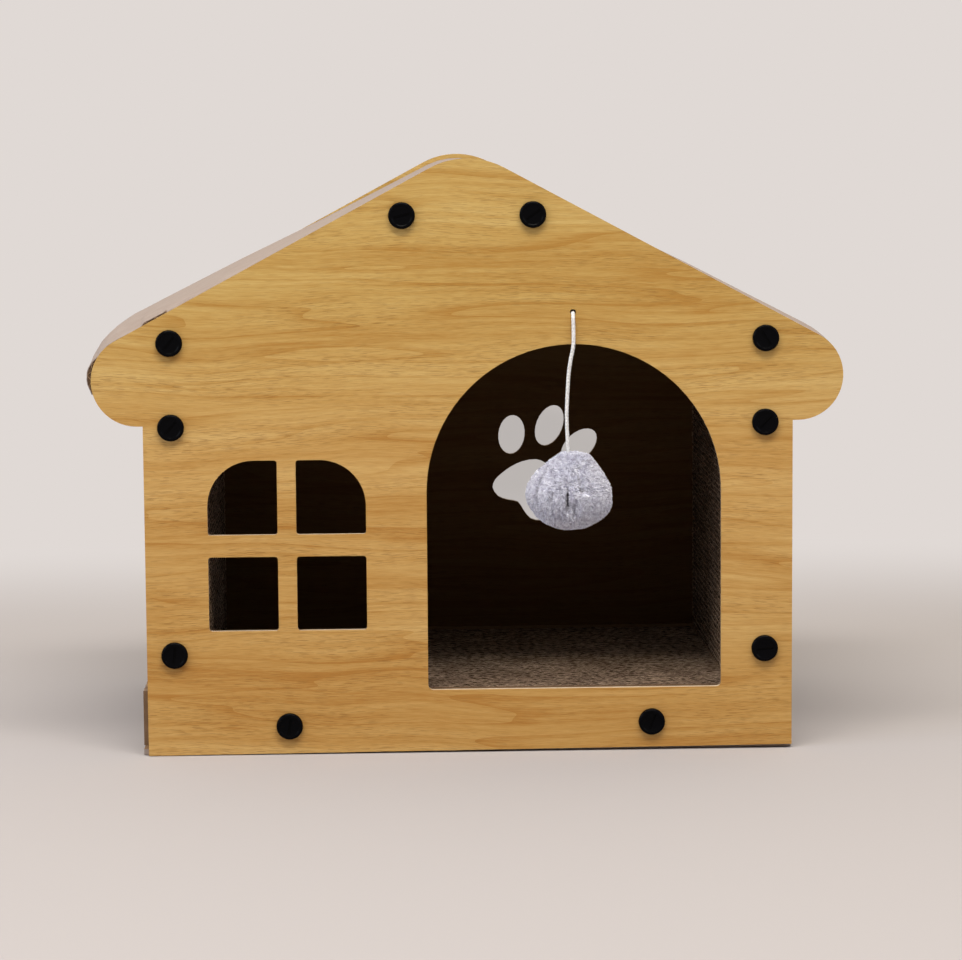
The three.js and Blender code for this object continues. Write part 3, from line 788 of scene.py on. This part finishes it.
rivet = {
    "profile": [(0, -15), (3.5, -15), (4, -14.5), (4, 0.2), (8.9, 0.2), (8.9, 1.9), (8.75, 2.5), (8.35, 2.95),
                (7.8, 3.15), (7.1, 3.2), (6.75, 3.1), (6.5, 2.85), (6.2, 2.78), (0, 2.78)],
    "steps": 48, "slotLength": 11, "slotWidth": 1.5, "slotFloor": 1.6, "slotTop": 6, "slotBevel": 0.25,
    # turn of each coin slot in degrees, on the left and on the right, and what the back adds to it
    "turns": {"ridge": (15, 35), "eave": (52, 122), "wall_high": (48, 45), "wall_low": (85, 5),
              "base": (80, 68)},
    "backTurn": 40,
    "colour": "#030305", "toothSize": 0.67, "toothDepth": 0.1, "scuffSize": 3.85,
}
nut = {
    "profile": [(0, -15.9), (5.4, -15.9), (6, -15.3), (6, -10.1), (7.6, -10.1), (8, -9.7), (8, -8.7),
                (7.8, -8.5), (4.3, -8.5), (4.3, -14.9), (0, -14.9)],
    "steps": 32, "wings": 4, "wing": (5.6, 7.4, -0.7, 0.7, -15.2, -9.9), "wingBevel": 0.3,
}


def mouldedNylon(size):
    # Glossy moulded nylon: near black, with a soft highlight on the rounded rim
    material, shader, add = newMaterial("mouldedNylon", size["colour"], 0.2, {"Specular IOR Level": 0.05})
    tooth = cloudy(add, size["toothSize"])
    relief = add("Bump", {"Height": tooth, "Distance": size["toothDepth"] / metre, "Strength": 0.05})
    scuffs = cloudy(add, size["scuffSize"], 3.0, span=(0.35, 0.7), levels=(0.08, 0.2))
    setInputs(shader, {"Roughness": scuffs, "Normal": relief})
    return material


def rivetShape(size):
    half, side = size["slotLength"] / 2, size["slotWidth"] / 2
    slot = slab(-half, half, -side, side, size["slotFloor"], size["slotTop"], size["slotBevel"])
    return combined(turned(size["profile"], size["steps"]), slot, "DIFFERENCE")


def nutShape(size):
    parts = [(turned(size["profile"], size["steps"]), None)]
    for i in range(size["wings"]):  # finger wings on the collar
        wing = slab(*size["wing"], size["wingBevel"])
        turn = Matrix.Rotation(math.tau * i / size["wings"], 3, "Z")
        bmesh.ops.rotate(wing, cent=(0, 0, 0), matrix=turn, verts=wing.verts)
        parts.append((wing, None))
    return merged(parts)


nylon = mouldedNylon(rivet)
fasteners = {"rivet": rivetShape(rivet), "nut": nutShape(nut)}
for end, facing, shift in (("front", -1, 0), ("back", 1, rivet["backTurn"])):
    stand = Matrix.Rotation(math.radians(-90 * facing), 4, "X")
    for row, turns in rivet["turns"].items():
        for word, angle in zip(("left", "right"), turns):
            turn = Matrix.Rotation(math.radians(angle + shift), 4, "Z")
            for kind, shape in fasteners.items():
                node = f"{kind}_{end}_{row}_{word}"
                low, high = boxOf(node)
                centre = (low + high) / 2
                place = Matrix.Translation((centre.x, facing * board["halfDepth"], centre.z))
                copy = shape.copy()
                bmesh.ops.transform(copy, matrix=place @ stand @ turn, verts=copy.verts)
                name = node.title().replace("_", "")
                finished(name, copy, [nylon], "house", [node], smooth=35)
print("rivets and nuts made")


# Hanging ball: short plush pile parted in a few creases

ball = {
    "width": 57.8, "height": 51.3, "centre": (66.3, -141.9, 176.5), "subdivisions": 6, "seed": 5,
    "leanSeed": 1796062313,
    # share of the height, then the reach to the left and to the right as shares of half the width
    "shares": [(0, 0, 0), (0.02, 0.31, 0.37), (0.088, 0.6, 0.63), (0.152, 0.725, 0.83), (0.215, 0.81, 0.92),
               (0.28, 0.895, 0.975), (0.343, 0.955, 0.995), (0.47, 0.995, 1.0), (0.566, 0.965, 0.962),
               (0.726, 0.78, 0.79), (0.872, 0.48, 0.61), (0.957, 0.25, 0.49), (0.987, 0.2, 0.38), (1, 0, 0)],
    # each crease: degrees from the front, lowest and highest share of the height, depth, width in degrees
    "creases": [(-5, 0.26, 0.62, 4.4, 3.6), (14, 0.5, 0.88, 3.2, 3.0), (20, 0.5, 0.58, 1.5, 7.0),
                (19, 0.8, 0.88, 2.2, 6.0), (-27, 0.34, 0.56, 1.8, 3.6), (5, 0.2, 0.44, 2.2, 2.6),
                (-55, 0.3, 0.8, 2.2, 4.0), (92, 0.3, 0.7, 2.6, 4.0), (165, 0.25, 0.8, 3.0, 4.0),
                (-112, 0.3, 0.75, 2.6, 4.0), (-150, 0.1, 0.5, 2.2, 4.0), (130, 0.1, 0.5, 2.2, 4.0)],
    "uneven": 0.7, "unevenRows": 19, "darkestDepth": 3.6, "darkPower": 1.3,
    "ribs": {"every": 9.0, "low": 0.04, "high": 0.42, "depth": 0.75},
    "clumps": ((0.11, 0.5), (0.28, 0.35), (0.6, 0.25)), "clumpStart": (3.1, 7.7, 1.3),
    "pile": 2.4, "sunkShare": 0.8, "pileShares": (0.7, 1.1), "partedShare": 0.8, "tipShare": 0.5,
    "droop": 0.3, "lean": 0.32, "leanScale": 0.34, "stray": 0.2,
    # the crease colour is painted shade for the deep creases
    "light": "#f2f4ff", "dark": "#b6b4c8", "crease": "#4e4959", "tuftSize": 2.38, "patchSize": 8.33,
}


def ballReach(share, sideways):  # half width, as a share, at a share of the height
    rows = ball["shares"]
    for (a, *p), (b, *q) in zip(rows, rows[1:]):
        if share <= b:
            t = (share - a) / (b - a)
            if a == 0:
                t = math.sqrt(max(0.0, t))
            if b == 1:
                t = 1 - math.sqrt(max(0.0, 1 - t))
            left, right = (u + (v - u) * t for u, v in zip(p, q))
            return (left + right) / 2 + (right - left) / 2 * sideways
    return 0.0


def creaseDepth(angle, share):
    depth = 0.0
    for middle, low, high, deep, width in ball["creases"]:
        away = (math.degrees(angle) - middle + 180) % 360 - 180
        if low < share < high:
            deep *= 1 + ball["uneven"] * noise.noise(Vector((share * ball["unevenRows"], middle, 0)))
            swell = math.sin(math.pi * (share - low) / (high - low)) ** 0.5
            depth += deep * math.exp(-(away / width) ** 2) * swell
    ribs = ball["ribs"]
    if ribs["low"] < share < ribs["high"]:  # fine ribs that fan out from below
        swell = math.sin(math.pi * (share - ribs["low"]) / (ribs["high"] - ribs["low"]))
        wave = math.cos(math.tau * math.degrees(angle) / ribs["every"])
        depth += ribs["depth"] * swell * max(0.0, wave) ** 2
    return depth


def plushBall(size):
    draw, start = random.Random(size["seed"]), Vector(size["clumpStart"])
    noise.seed_set(size["leanSeed"])  # noise_vector would differ from run to run
    bm = bmesh.new()
    crease = bm.verts.layers.float.new("crease")
    bmesh.ops.create_icosphere(bm, subdivisions=size["subdivisions"], radius=1)
    for v in bm.verts:
        share = (v.co.z + 1) / 2
        angle = math.atan2(v.co.x, -v.co.y)
        flat = Vector((v.co.x, v.co.y, 0)).normalized() if v.co.xy.length > 1e-6 else Vector()
        place = flat * (ballReach(share, flat.x) * size["width"] / 2)
        place.z = (share - 0.5) * size["height"]
        swell = sum(noise.noise(place * scale + start) * tall for scale, tall in size["clumps"])
        deep = creaseDepth(angle, share)
        # share of painted shade in the creases, which also shortens the tufts there
        v[crease] = min(1.0, (deep / size["darkestDepth"]) ** size["darkPower"])
        v.co = place - place.normalized() * (size["pile"] * size["sunkShare"] + deep - swell)
    bm.normal_update()
    ways = {}
    for face in bm.faces:  # the way that each tuft grows
        place = face.calc_center_median()
        clump = noise.noise_vector(place * size["leanScale"]) * size["lean"]
        stray = Vector((draw.uniform(-1, 1), draw.uniform(-1, 1), draw.uniform(-1, 1))) * size["stray"]
        way = (face.normal + clump + stray - Vector((0, 0, size["droop"]))).normalized()
        shorter = 1 - size["partedShare"] * max(v[crease] for v in face.verts)
        reach = size["pile"] * draw.uniform(*size["pileShares"]) * shorter
        ways[tuple(round(c, 4) for c in place)] = way * reach
    for face in bmesh.ops.extrude_discrete_faces(bm, faces=bm.faces)["faces"]:
        place = face.calc_center_median()
        way = ways[tuple(round(c, 4) for c in place)]
        for v in face.verts:
            v.co = place + (v.co - place) * size["tipShare"] + way
    bmesh.ops.translate(bm, vec=size["centre"], verts=bm.verts)
    return bm


def acrylicPlush(size):
    # Acrylic plush: matt lavender grey, soft at its edges, mottled at the scale of the tufts, with painted
    # shade in the creases
    material, shader, add = newMaterial("acrylicPlush", size["light"], 0.95, {
        "Specular IOR Level": 0.1, "Sheen Weight": 0.5, "Sheen Roughness": 0.5})
    tufts = cloudy(add, size["tuftSize"], 3.0, 0.6, span=(0.3, 0.6))
    patches = cloudy(add, size["patchSize"], span=(0.3, 0.7), levels=(-0.15, 0.15))
    tone = add("Math", (tufts, patches))
    colour = add("Mix", {"Factor": tone, "A": size["dark"], "B": size["light"]}, data_type="RGBA")
    # painted shade: the colour darkens towards the crease colour where the creases are deepest
    depth = add("Attribute", attribute_name="crease").outputs["Fac"]
    colour = add("Mix", {"Factor": depth, "A": colour, "B": size["crease"]}, data_type="RGBA")
    setInputs(shader, {"Base Color": colour})
    return material


plushPiece = finished("plushBall", plushBall(ball), [acrylicPlush(ball)], "toy", ["pompom"])
print("ball made:", len(plushPiece.data.polygons), "faces")


# Floor, background and lights, in metres

stage = {
    "floorRadius": 9.0, "floorSides": 96, "floorDrop": 0.0004, "floor": "#afabad", "background": "#e0d9d5",
    # the floor fades into the background between these shares of the reach from a middle
    "fadeMiddle": (0, -0.25), "fadeReach": (1.818, 1), "fade": (0.6, 1.18),
    # a soft shade on the paper far behind the house, darkest in its middle
    "shadeMiddle": (0.1, 1.9), "shadeReach": (0.36, 1.5), "shade": (0.3, 1.0), "shadeLevels": (0.66, 1.0),
    "sky": "#f6ecdb", "skyLevels": (0.04, 0.6), "skyBack": 0.65, "aim": (0, 0, 0.18),
}
lamps = {  # place, width and height, power and colour of each soft lamp
    "left": ((-2.3, -1.15, 1.35), (1.4, 1.4), 29, "#e6efff"),
    "right": ((2.1, -1.5, 1.45), (1.2, 1.2), 9.5, "#e6efff"),
    "front": ((0.0, -1.5, 3.0), (3.0, 0.8), 110, "#fff8ec"),
}


def seenRays(add):  # 1 for what the camera sees, also in gloss and through glass
    rays = add("LightPath")
    seen = rays.outputs["Is Camera Ray"]
    for kind in ("Is Glossy Ray", "Is Transmission Ray"):
        seen = add("Math", (seen, rays.outputs[kind]), operation="MAXIMUM")
    return seen


def smoothAway(add, middle, reach, span, levels=(0.0, 1.0)):  # levels that follow the distance from a middle
    (midX, midY), (reachX, reachY) = middle, reach
    away = add("Mapping", {
        "Vector": add("TexCoord").outputs["Object"],
        "Location": (-midX / reachX, -midY / reachY, 0), "Scale": (1 / reachX, 1 / reachY, 1)})
    distance = add("VectorMath", (away,), operation="LENGTH")
    return add("MapRange", (distance, *span, *levels), interpolation_type="SMOOTHSTEP")


def seamlessPaper(size):
    # Matt seamless paper that fades into the background far away
    material, shader, add = newMaterial("seamlessPaper", size["floor"], 0.9, {"Specular IOR Level": 0.1})
    far = smoothAway(add, size["fadeMiddle"], size["fadeReach"], size["fade"])
    fade = add("Math", (far, seenRays(add)), operation="MULTIPLY")
    shade = smoothAway(add, size["shadeMiddle"], size["shadeReach"], size["shade"], size["shadeLevels"])
    tint = add("CombineColor", (shade, shade, shade))
    colour = add("Mix", {"Factor": 1.0, "A": tint, "B": size["background"]}, data_type="RGBA",
                 blend_type="MULTIPLY")
    glow = add("Emission", {"Color": colour, "Strength": 1.0})
    mixed = add("MixShader", (fade, shader, glow))
    setInputs(material.node_tree.nodes["Material Output"], {"Surface": mixed})
    return material


def studioWorld(size):  # a dim dome lights the house, and the pale paper behind gives light too
    world = bpy.data.worlds.new("studio")
    world.use_nodes = True
    world.node_tree.nodes.clear()
    add = partial(addNode, world.node_tree)
    way = add("SeparateXYZ", (add("TexCoord").outputs["Generated"],))
    above = add("MapRange", (way.outputs["Z"], 0.1, 0.9, *size["skyLevels"]))
    behind = add("MapRange", (way.outputs["Y"], -0.2, 0.9, 0.0, size["skyBack"]))
    dome = add("Math", (above, behind))
    dim = add("Background", {"Color": size["sky"], "Strength": dome})
    pale = add("Background", {"Color": size["background"], "Strength": 1.0})
    both = add("MixShader", (seenRays(add), dim, pale))
    add("OutputWorld", {"Surface": both})
    return world


floorMesh = bmesh.new()
bmesh.ops.create_circle(floorMesh, segments=stage["floorSides"], radius=stage["floorRadius"], cap_ends=True)
bmesh.ops.translate(floorMesh, vec=(0, 0, -stage["floorDrop"]), verts=floorMesh.verts)
floorData = bpy.data.meshes.new("floor")
floorMesh.to_mesh(floorData)
floorMesh.free()
floorData.materials.append(seamlessPaper(stage))
floor = bpy.data.objects.new("floor", floorData)
scene.collection.objects.link(floor)
scene.world = studioWorld(stage)

for name, (place, extent, power, colour) in lamps.items():
    light = bpy.data.lights.new(name, "AREA")
    light.shape, light.size, light.size_y, light.energy = "RECTANGLE", *extent, power
    light.color = linearColour(colour)[:3]
    lamp = bpy.data.objects.new(name, light)
    scene.collection.objects.link(lamp)
    lamp.location = place
    lamp.rotation_euler = (Vector(stage["aim"]) - Vector(place)).to_track_quat("-Z", "Y").to_euler()
print("stage and lamps set")

scene.view_settings.view_transform = "Standard"
